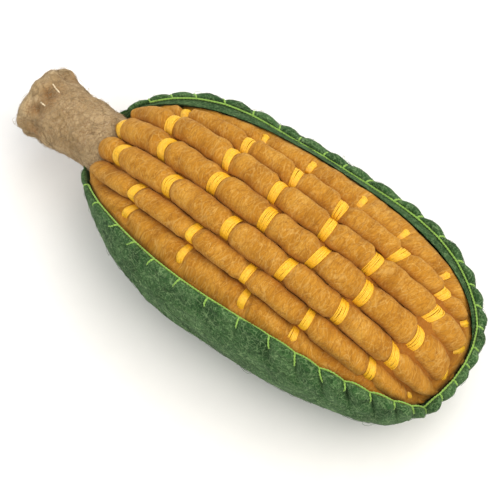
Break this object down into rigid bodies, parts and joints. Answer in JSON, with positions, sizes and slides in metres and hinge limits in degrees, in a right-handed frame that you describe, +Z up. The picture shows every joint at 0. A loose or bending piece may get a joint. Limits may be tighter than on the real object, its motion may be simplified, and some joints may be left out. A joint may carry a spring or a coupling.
{
  "type": "felt toy corn cob",
  "caption": "Handmade stuffed felt corn cob with sewn kernel rows, a green felt husk with a blanket-stitched edge and a felt stem.",
  "frame": {"origin": "under the middle of the cob's box, on the surface that its belly rests on", "axes": "+X along the cob from the stem to the tip, +Z up through the kernel rows, -Y to the near side"},
  "size_m": [0.1742, 0.0768, 0.0566],
  "materials": {
    "green_felt": "matte, fuzzy wool felt",
    "ochre_felt": "matte, fuzzy needle-felted wool",
    "beige_felt": "matte, fuzzy wool felt",
    "lime_thread": "soft cotton thread",
    "yellow_floss": "silky stranded floss",
    "cream_thread": "soft cotton thread"
  },
  "bodies": {
    "root": {"husk": "green_felt", "stem": "beige_felt", "roll_1": "ochre_felt", "roll_2": "ochre_felt", "roll_3": "ochre_felt", "roll_4": "ochre_felt", "roll_5": "ochre_felt", "roll_6": "ochre_felt", "roll_7": "ochre_felt", "edge_thread": "lime_thread"}
  },
  "joints": []
}
